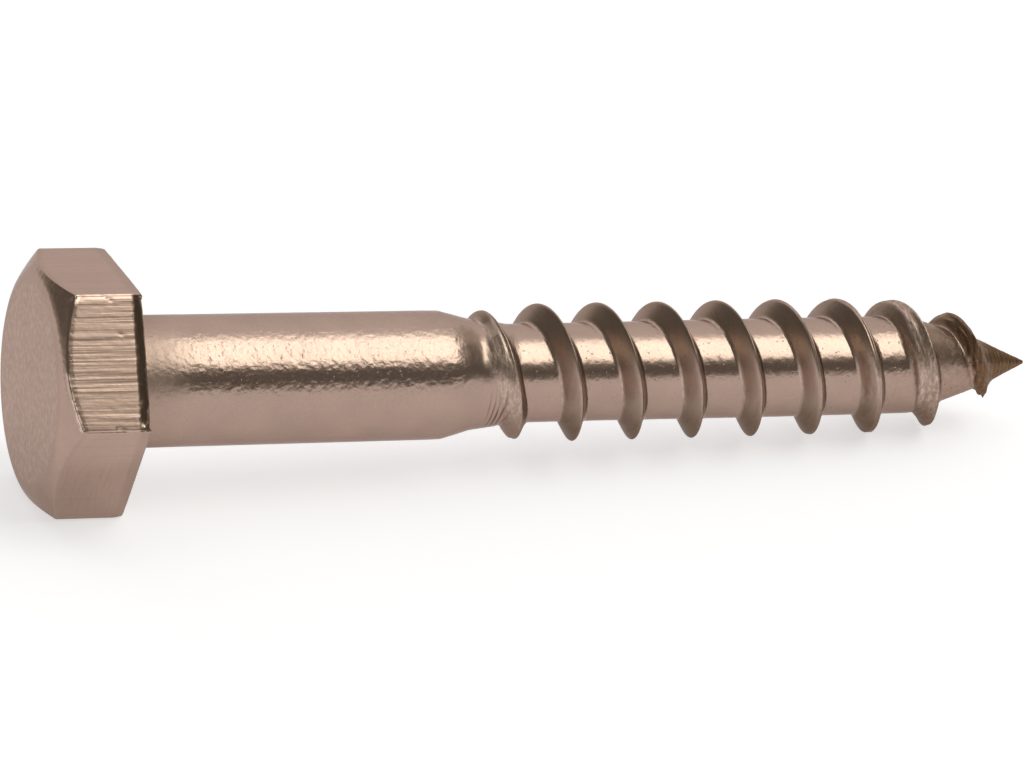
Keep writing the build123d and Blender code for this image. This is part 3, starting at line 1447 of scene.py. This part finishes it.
@dataclass
class LagScrew:
    """The whole screw: its head, its core and its thread, as one closed piece."""

    axes: ScrewAxes
    head: Head
    core: Core
    thread: Thread
    name: str = "lag_screw_body"
    straight_end: float = 19.6
    shank_rows: int = 23
    fillet_rows: int = 6
    bare_tip: float = 0.2
    tip_rows: int = 5

    @classmethod
    def from_frame(cls, packed: dict[str, Any]) -> "LagScrew":
        """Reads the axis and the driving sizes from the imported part.


        Returns:
            The screw.
        """
        mounts = {mount["name"]: mount for mount in packed["record"]["mounts"]}
        axes = ScrewAxes.from_mount(mounts["bearing_face"])
        node = packed["nodes"]["lag_screw"]
        points = np.empty(len(node.data.vertices) * 3)
        node.data.vertices.foreach_get("co", points)
        length = float(((points.reshape(-1, 3) - axes.origin) @ axes.along).max()) / MILLIMETRE
        core = Core(shank_radius=mounts["plain_shank"]["dims"]["r_mm"], length=length)
        thread = Thread(crest_radius=mounts["wood_thread"]["dims"]["r_mm"])
        return cls(axes, Head(), core, thread)

    def shank(self) -> Patch:
        """Rows of points from the fillet under the head to where the thread's grid begins.

        The fillet is a quarter of a circle. The shank's radius is the core's.

        Returns:
            The points, with one ring in each row.
        """
        fillet = self.core.fillet
        swing = np.linspace(0.0, math.pi / 2.0, self.fillet_rows + 1)[1:]
        foot_station = fillet * (1.0 - np.cos(swing))
        foot_radius = self.core.profile(np.array(fillet)) + fillet * (1.0 - np.sin(swing))
        straight = np.linspace(fillet, self.straight_end, self.shank_rows + 1)[1:]
        station = np.concatenate([foot_station, straight])[:, None]
        radius = np.concatenate([foot_radius, self.core.profile(straight)])[:, None]
        return Patch(station, radius, self.head.coarse_angles, self.core.marks(station))

    def tip(self) -> tuple[Patch, Patch]:
        """The rounded tip: rings that close in as a quarter of an ellipse, and its pole.

        Returns:
            The rings, one in each row, and the pole.
        """
        start = self.core.length - self.bare_tip
        base = self.core.profile(np.array(start))
        swing = np.linspace(0.0, math.pi / 2.0, self.tip_rows + 2)[1:-1, None]
        station = start + self.bare_tip * np.sin(swing)
        marks = self.core.marks(station)
        rings = Patch(station, base * np.cos(swing), self.head.coarse_angles, marks)
        dirty = {Mark.STAINED: np.array(0.5)}
        return rings, Patch(np.array([self.core.length]), np.zeros(1), np.zeros(1), dirty)

    def build(self) -> bpy.types.Object:
        """Sews the screw's skin and puts it in the scene in place of the CAD part.

        Returns:
            The piece.
        """
        skin = Skin()
        angles = self.head.coarse_angles
        foot_radius = float(self.core.profile(np.array(self.core.fillet))) + self.core.fillet
        seat = self.head.sew_to(skin, foot_radius)
        shank = skin.add_rings(self.shank())
        skin.sew_rings(seat, shank[0])
        end = self.core.length - self.bare_tip
        last = self.thread.sew_to(skin, shank[-1], angles, self.straight_end, end, self.core)
        rings, pole = self.tip()
        tip = skin.add_rings(rings)
        skin.sew_rings(last, tip[0])
        skin.sew(tip[-1], np.roll(tip[-1], -1), skin.add(pole))

        mesh = skin.to_mesh(self.name, self.axes)
        piece = bpy.data.objects.new(self.name, mesh)
        bpy.context.scene.collection.objects.link(piece)
        log.info("%s: %d points, %d triangles", self.name, len(mesh.vertices), len(mesh.polygons))
        return piece


# ---------------------------------------------------------------- node expressions


class Wire:
    """An output of a shader node, which Python's operators turn into Math nodes."""

    def __init__(self, board: "Board", socket: bpy.types.NodeSocket) -> None:
        """Wraps a socket.

        Args:
            board: The node tree that the socket is in.
            socket: The output socket.
        """
        self.board = board
        self.socket = socket

    def _math(self, operation: str, *values: Any) -> "Wire":
        """Adds one Math node."""
        return self.board.node("ShaderNodeMath", {"operation": operation}, dict(enumerate(values)))

    def __add__(self, other: Any) -> "Wire":
        """Sum."""
        return self._math("ADD", self, other)

    def __radd__(self, other: Any) -> "Wire":
        """Sum, with the wire second."""
        return self._math("ADD", other, self)

    def __sub__(self, other: Any) -> "Wire":
        """Difference."""
        return self._math("SUBTRACT", self, other)

    def __rsub__(self, other: Any) -> "Wire":
        """Difference, with the wire second."""
        return self._math("SUBTRACT", other, self)

    def __mul__(self, other: Any) -> "Wire":
        """Product."""
        return self._math("MULTIPLY", self, other)

    def __rmul__(self, other: Any) -> "Wire":
        """Product, with the wire second."""
        return self._math("MULTIPLY", other, self)

    def __neg__(self) -> "Wire":
        """The same value below zero."""
        return self._math("MULTIPLY", self, -1.0)

    def maximum(self, other: Any) -> "Wire":
        """Larger of two values."""
        return self._math("MAXIMUM", self, other)

    def angle_to(self, other: "Wire") -> "Wire":
        """Angle whose sine goes with this value and whose cosine goes with the other."""
        return self._math("ARCTAN2", self, other)

    def fade(self, start: float, end: float) -> "Wire":
        """Eased step: 0 at start and 1 at end.

        Args:
            start: Value at which the step is 0.
            end: Value at which the step is 1; it may lie below start.

        Returns:
            The step's height.
        """
        if start > end:
            return 1.0 - self.fade(end, start)
        values = {"Value": self, "From Min": start, "From Max": end}
        return self.board.node("ShaderNodeMapRange", {"interpolation_type": "SMOOTHSTEP"}, values)


@dataclass(frozen=True)
class Noise:
    """Sizes of a noise pattern.

    Attributes:
        scale: Cells in a millimetre.
        detail: Number of finer layers.
        roughness: Weight of the finer layers.
        stretch: What the three parts of the place are multiplied by first.
    """

    scale: float
    detail: float
    roughness: float
    stretch: tuple[float, float, float] = (1.0, 1.0, 1.0)


class Board:
    """A node tree, to which nodes are added."""

    def __init__(self, tree: bpy.types.NodeTree) -> None:
        """Clears the tree.

        Args:
            tree: The tree of a material or of the world.
        """
        self.tree = tree
        tree.nodes.clear()

    def node(self, kind: str, settings: dict[str, Any] | None = None,
             values: dict[Any, Any] | None = None, output: int | str = 0) -> Wire:
        """Adds any node.

        Args:
            kind: The node's type.
            settings: Properties of the node, which are set first.
            values: What goes into its sockets, by name or number: a wire, a number or a tuple.
            output: The output that is wanted.

        Returns:
            That output, or a wire on nothing where the node has none.
        """
        made = self.tree.nodes.new(kind)
        for name, value in (settings or {}).items():
            setattr(made, name, value)
        for name, value in (values or {}).items():
            if isinstance(value, Wire):
                self.tree.links.new(value.socket, made.inputs[name])
            else:
                made.inputs[name].default_value = value
        return Wire(self, made.outputs[output] if made.outputs else None)

    def mix(self, first: Wire | Colour, second: Wire | Colour, share: Wire) -> Wire:
        """Blends two colours.

        Args:
            first: Colour where the share is 0.
            second: Colour where the share is 1.
            share: The second's share.

        Returns:
            The colour.
        """
        first, second = (c if isinstance(c, Wire) else (*c, 1.0) for c in (first, second))
        return self.node("ShaderNodeMix", {"data_type": "RGBA"}, {0: share, 6: first, 7: second}, 2)

    def noise(self, place: Wire, noise: Noise) -> Wire:
        """Adds a noise pattern, from 0 to 1.

        Args:
            place: Where it is read.
            noise: Its sizes.

        Returns:
            The noise.
        """
        drawn = self.node("ShaderNodeVectorMath", {"operation": "MULTIPLY"}, {0: place, 1: noise.stretch})
        return self.node("ShaderNodeTexNoise", {}, {
            "Vector": drawn, "Scale": noise.scale, "Detail": noise.detail, "Roughness": noise.roughness})


class Pattern(Enum):
    """The noises that the steel's finish is made of."""

    GRAIN = Noise(3.0, 2.0, 0.4)
    SPECK = Noise(9.0, 2.0, 0.5)
    PIT = Noise(5.0, 1.0, 0.5)
    FLECK = Noise(7.5, 2.0, 0.6, (1.0, 0.35, 0.35))
    TEAR = Noise(4.5, 3.0, 0.5, (0.02, 1.0, 1.0))
    LINE = Noise(6.0, 3.0, 0.6, (1.0, 0.08, 0.08))
    CLOUD = Noise(0.45, 2.0, 0.5)
    FOLD = Noise(4.6, 1.0, 0.4, (1.0, 0.12, 0.12))


Marks = dict[Mark, Wire]
Patterns = dict[Pattern, Wire]


@dataclass(frozen=True)
class Steel:
    """Warm stainless steel, pickled and tumbled, with torn flats and rubbed crests.

    Colours are linear red, green and blue. Depths are in millimetres.
    """

    colour: Colour = (0.413, 0.296, 0.243)
    pressed_colour: Colour = (0.205, 0.145, 0.105)
    clean_colour: Colour = (0.55, 0.44, 0.37)
    torn_colour: Colour = (0.6, 0.42, 0.345)
    bright_colour: Colour = (0.78, 0.62, 0.52)
    gold_colour: Colour = (0.35, 0.2, 0.11)
    stain_colour: Colour = (0.12, 0.065, 0.03)
    edge_tint: Colour = (0.68, 0.62, 0.6)
    mottle: Span = (1.07, 0.9)
    roughness: float = 0.23
    dull_roughness: float = 0.44
    torn_roughness: float = 0.33
    stained_roughness: float = 0.15
    speck_roughness: float = 0.08
    grain_depth: float = 0.031
    pit_depth: float = 0.006
    rolled_pit_depth: float = 0.012
    fleck_depth: float = 0.02
    tear_depth: float = 0.02
    line_depth: float = 0.014
    fold_depth: float = 0.04
    fold_bands: float = 1.05
    fold_distortion: float = 1.6
    fold_detail: float = 1.0
    fold_detail_scale: float = 0.6
    pit_edge: Span = (0.68, 0.78)
    tear_streak: Span = (0.48, 0.32)
    fold_crease: Span = (0.5, 0.28)
    line_crease: Span = (0.5, 0.35)
    dirt_edge: Span = (0.45, 0.85)
    gold_edge: Span = (0.35, 0.65)
    fleck_edge: Span = (0.45, 0.6)

    def patterns(self, board: Board, tilt: float) -> Patterns:
        """Adds the patterns, on a place in millimetres whose first part runs along the screw.

        Args:
            board: The material's nodes.
            tilt: Angle by which the axis drops towards the point.

        Returns:
            The patterns, of which the pits and the folds are worked up from their noise.
        """
        per_metre = 1.0 / MILLIMETRE
        place = board.node("ShaderNodeMapping", {}, {
            "Vector": board.node("ShaderNodeTexCoord", output="Object"),
            "Rotation": (0.0, -tilt, 0.0), "Scale": (per_metre, per_metre, per_metre)})
        found = {pattern: board.noise(place, pattern.value) for pattern in Pattern}
        bands = board.node("ShaderNodeTexWave", {"bands_direction": "X"}, {
            "Vector": place, "Scale": self.fold_bands, "Distortion": self.fold_distortion,
            "Detail": self.fold_detail, "Detail Scale": self.fold_detail_scale}, "Fac")
        found[Pattern.PIT] = found[Pattern.PIT].fade(*self.pit_edge)
        found[Pattern.FOLD] = found[Pattern.FOLD] * 0.5 + bands * 0.5
        return found

    def height(self, mark: Marks, pattern: Patterns) -> Wire:
        """Height of the finish, in millimetres: each pattern where its mark is.

        Args:
            mark: The shares of the marks.
            pattern: The patterns.

        Returns:
            The height.
        """
        grain = (pattern[Pattern.CLOUD] + 0.5) * pattern[Pattern.GRAIN] * self.grain_depth
        drawn = pattern[Pattern.LINE] * self.line_depth - pattern[Pattern.PIT] * self.rolled_pit_depth
        height = (grain - pattern[Pattern.PIT] * self.pit_depth) * mark[Mark.GRAINY]
        height = height + pattern[Pattern.TEAR] * mark[Mark.SHEARED] * self.tear_depth
        height = height + mark[Mark.ROLLED] * drawn
        height = height + mark[Mark.BRIGHT] * pattern[Pattern.FLECK] * self.fleck_depth
        return height + pattern[Pattern.FOLD] * mark[Mark.FOLDED] * self.fold_depth

    def tone(self, board: Board, mark: Marks, pattern: Patterns) -> Wire:
        """Colour of the finish: the mottled steel, and each layer of colour over the last, among them
        painted light and shade.

        Args:
            board: The material's nodes.
            mark: The shares of the marks.
            pattern: The patterns.

        Returns:
            The colour.
        """
        grain, speck = pattern[Pattern.GRAIN], pattern[Pattern.SPECK]
        mottle = 0.5 + (pattern[Pattern.CLOUD] - 0.5) * 0.9 + (speck - 0.5) * 0.7
        streak = 1.0 - pattern[Pattern.TEAR].fade(*self.tear_streak)
        # Painted shade in the folds, along the greyed lines and in the pits of the rolled skin.
        crease = mark[Mark.FOLDED] * pattern[Pattern.FOLD].fade(*self.fold_crease) * 0.85
        crease = crease.maximum(mark[Mark.PRESSED] * pattern[Pattern.LINE].fade(*self.line_crease) * 0.3)
        crease = crease.maximum(mark[Mark.ROLLED] * pattern[Pattern.PIT] * 0.8)
        dirt = mark[Mark.STAINED] * (speck * 0.8 + grain * 0.8).fade(*self.dirt_edge)
        fleck = pattern[Pattern.FLECK].fade(*self.fleck_edge)
        layers = [
            # Paler torn metal, partly painted light: it lifts the flat that faces the light.
            (self.torn_colour, mark[Mark.SHEARED] * (0.45 + streak * 0.55)),
            # Greyed skin and painted shade.
            (self.pressed_colour, mark[Mark.PRESSED]),
            # Painted light on the flanks towards the point.
            (self.clean_colour, mark[Mark.CLEAN]),
            # Painted shade in creases and pits.
            (self.stain_colour, crease),
            (self.gold_colour, mark[Mark.STAINED] * grain.fade(*self.gold_edge)),
            (self.stain_colour, dirt * 0.85),
            # Fresh metal, and painted highlight.
            (self.bright_colour, mark[Mark.BRIGHT] * (0.2 + fleck * 0.8)),
        ]
        pale, deep = (tuple(part * level for part in self.colour) for level in self.mottle)
        tone = board.mix(pale, deep, mottle.fade(0.0, 1.0))
        for colour, share in layers:
            tone = board.mix(tone, colour, share)
        return tone

    def rough(self, mark: Marks, pattern: Patterns) -> Wire:
        """Roughness of the finish: dull and torn skin mirrors less, and so does a stain.

        Args:
            mark: The shares of the marks.
            pattern: The patterns.

        Returns:
            The roughness.
        """
        rough = self.roughness + mark[Mark.DULL] * (self.dull_roughness - self.roughness)
        rough = rough.maximum(mark[Mark.SHEARED] * self.torn_roughness)
        rough = rough + (pattern[Pattern.SPECK] - 0.5) * self.speck_roughness
        return rough + mark[Mark.STAINED] * self.stained_roughness

    def build(self, name: str, tilt: float) -> bpy.types.Material:
        """Makes the material. Its patterns are laid on the screw's own axis.

        Args:
            name: The material's name.
            tilt: Angle by which the axis drops towards the point.

        Returns:
            The material.
        """
        material = bpy.data.materials.new(name)
        material.use_nodes = True
        board = Board(material.node_tree)
        kind = "ShaderNodeAttribute"
        mark = {m: board.node(kind, {"attribute_name": m.value}, output="Fac") for m in Mark}
        pattern = self.patterns(board, tilt)
        height = {"Strength": 1.0, "Distance": MILLIMETRE, "Height": self.height(mark, pattern)}
        surface = board.node("ShaderNodeBsdfPrincipled", {}, {
            "Base Color": self.tone(board, mark, pattern), "Metallic": 1.0,
            "Roughness": self.rough(mark, pattern), "Normal": board.node("ShaderNodeBump", {}, height),
            "Specular Tint": (*self.edge_tint, 1.0)})
        board.node("ShaderNodeOutputMaterial", {}, {"Surface": surface})
        return material


# ---------------------------------------------------------------- table, light and camera


@dataclass(frozen=True)
class Studio:
    """A white table in a dim room, under one wide soft light that hangs over the front.

    The room is the world. A direction in it is told by its angle over the front horizon,
    measured in the plane across the screw, and by how far it leans along the screw.
    Levels are strengths of plain white, and angles are in degrees.
    """

    table_level: float = 1.0
    panel_level: float = 3.4
    room_level: float = 0.17
    left_level: float = 0.42
    right_level: float = 0.6
    panel_tint: Colour = (0.96, 1.0, 0.93)
    room_tint: Colour = (1.0, 0.96, 0.84)
    panel_low: Span = (38.0, 49.0)
    panel_high: Span = (88.0, 106.0)
    panel_left: Span = (0.18, 0.3)
    panel_right: Span = (0.58, 0.7)
    wall_left: Span = (-0.45, -0.3)
    wall_right: Span = (0.6, 0.72)
    horizon: Span = (0.03, 0.1)
    left_lean: Span = (-0.15, -0.4)
    left_height: Span = (0.36, 0.16)
    right_lean: Span = (0.6, 0.75)
    right_depth: Span = (-0.05, 0.25)
    table_colour: Colour = (0.62, 0.6, 0.63)
    table_roughness: float = 0.9
    table_shine: float = 0.1
    table_half: float = 2.0
    table_glow: float = 0.59

    def light_room(self) -> None:
        """Makes the world: dim all round, with the panel, the pale back wall and the table."""
        world = bpy.data.worlds.new("studio")
        bpy.context.scene.world = world
        world.use_nodes = True
        board = Board(world.node_tree)
        direction = board.node("ShaderNodeTexCoord", output="Generated")
        parts = {"Vector": direction}
        lean, depth, up = (board.node("ShaderNodeSeparateXYZ", {}, parts, k) for k in range(3))
        over = up.angle_to(-depth) * math.degrees(1.0)
        panel = over.fade(*self.panel_low) * over.fade(*self.panel_high[::-1])
        panel = panel * lean.fade(*self.panel_left) * lean.fade(*self.panel_right[::-1])
        wall = lean.fade(*self.wall_left) * lean.fade(*self.wall_right[::-1])
        wall = over.fade(*self.panel_high) * wall
        pale = wall.maximum(up.fade(*self.horizon[::-1]))
        left = lean.fade(*self.left_lean) * up.fade(*self.left_height)
        right = lean.fade(*self.right_lean) * depth.fade(*self.right_depth)
        room = self.room_level + left * (self.left_level - self.room_level)
        room = room + right * (self.right_level - self.room_level)
        level = room + pale * (self.table_level - room) + panel * (self.panel_level - self.room_level)
        tint = board.mix(board.mix(self.room_tint, WHITE, pale), self.panel_tint, panel)
        light = board.node("ShaderNodeBackground", {}, {"Color": tint, "Strength": level})
        board.node("ShaderNodeOutputWorld", {}, {"Surface": light})

    def lay_table(self, height: float) -> bpy.types.Object:
        """Makes the white table top that the screw lies on.

        Args:
            height: The table's height, in metres.

        Returns:
            The table.
        """
        half = self.table_half
        mesh = bpy.data.meshes.new("table")
        plan = ((-half, -half), (half, -half), (half, half), (-half, half))
        mesh.from_pydata([(x, y, height) for x, y in plan], [], [(0, 1, 2, 3)])
        table = bpy.data.objects.new("table", mesh)
        bpy.context.scene.collection.objects.link(table)
        material = bpy.data.materials.new("white_table")
        material.use_nodes = True
        board = Board(material.node_tree)
        rays = ("Is Camera Ray", "Is Glossy Ray", "Is Transmission Ray")
        camera, glossy, through = (board.node("ShaderNodeLightPath", output=ray) for ray in rays)
        seen = camera.maximum(glossy).maximum(through)
        surface = board.node("ShaderNodeBsdfPrincipled", {}, {
            "Base Color": (*self.table_colour, 1.0), "Roughness": self.table_roughness,
            "Specular IOR Level": self.table_shine, "Emission Color": (*WHITE, 1.0),
            "Emission Strength": seen * self.table_glow})
        board.node("ShaderNodeOutputMaterial", {}, {"Surface": surface})
        mesh.materials.append(material)
        return table


@dataclass(frozen=True)
class Viewpoint:
    """Where the camera stands: in front, a little to the head's side, looking down.

    Angles are in degrees and distances in millimetres. The camera looks past the centre of
    the bearing face, moved across its own picture by the two pans. The clip is in metres.
    """

    azimuth: float = -20.92
    elevation: float = 21.15
    roll: float = 3.25
    distance: float = 309.94
    pan_right: float = 21.76
    pan_up: float = -0.11
    lens: float = 199.3
    sensor: float = 36.0
    clip: Span = (0.01, 10.0)

    def place(self) -> bpy.types.Object:
        """Makes the camera and gives it to the scene.

        Returns:
            The camera.
        """
        turn, rise = math.radians(self.azimuth), math.radians(self.elevation)
        back = Vector((math.sin(turn) * math.cos(rise), -math.cos(turn) * math.cos(rise), math.sin(rise)))
        level = Vector((math.cos(turn), math.sin(turn), 0.0))
        lean = Matrix.Rotation(math.radians(self.roll), 3, back)
        right, up = lean @ level, lean @ back.cross(level)
        data = bpy.data.cameras.new("camera")
        data.lens, data.sensor_width = self.lens, self.sensor
        data.clip_start, data.clip_end = self.clip
        camera = bpy.data.objects.new("camera", data)
        bpy.context.scene.collection.objects.link(camera)
        turned = Matrix((right, up, back)).transposed().to_4x4()
        at = (right * self.pan_right + up * self.pan_up + back * self.distance) * MILLIMETRE
        camera.matrix_world = Matrix.Translation(at) @ turned
        bpy.context.scene.camera = camera
        return camera


def main() -> None:
    """Builds the screw, the table, the light and the camera."""
    scene = bpy.context.scene
    scene.view_settings.view_transform = "Standard"
    screw = LagScrew.from_frame(frame)
    piece = screw.build()
    piece.data.materials.append(Steel().build("warm_steel", screw.axes.tilt))
    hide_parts("lag_screw")
    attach(piece, "root")

    studio = Studio()
    studio.light_room()
    table = studio.lay_table(cad_box[0].z)
    log.info("table at %.3f mm", cad_box[0].z / MILLIMETRE)
    camera = Viewpoint().place()
    log.info("camera at %s", tuple(round(x, 4) for x in camera.location))


if __name__ == "__main__":
    main()
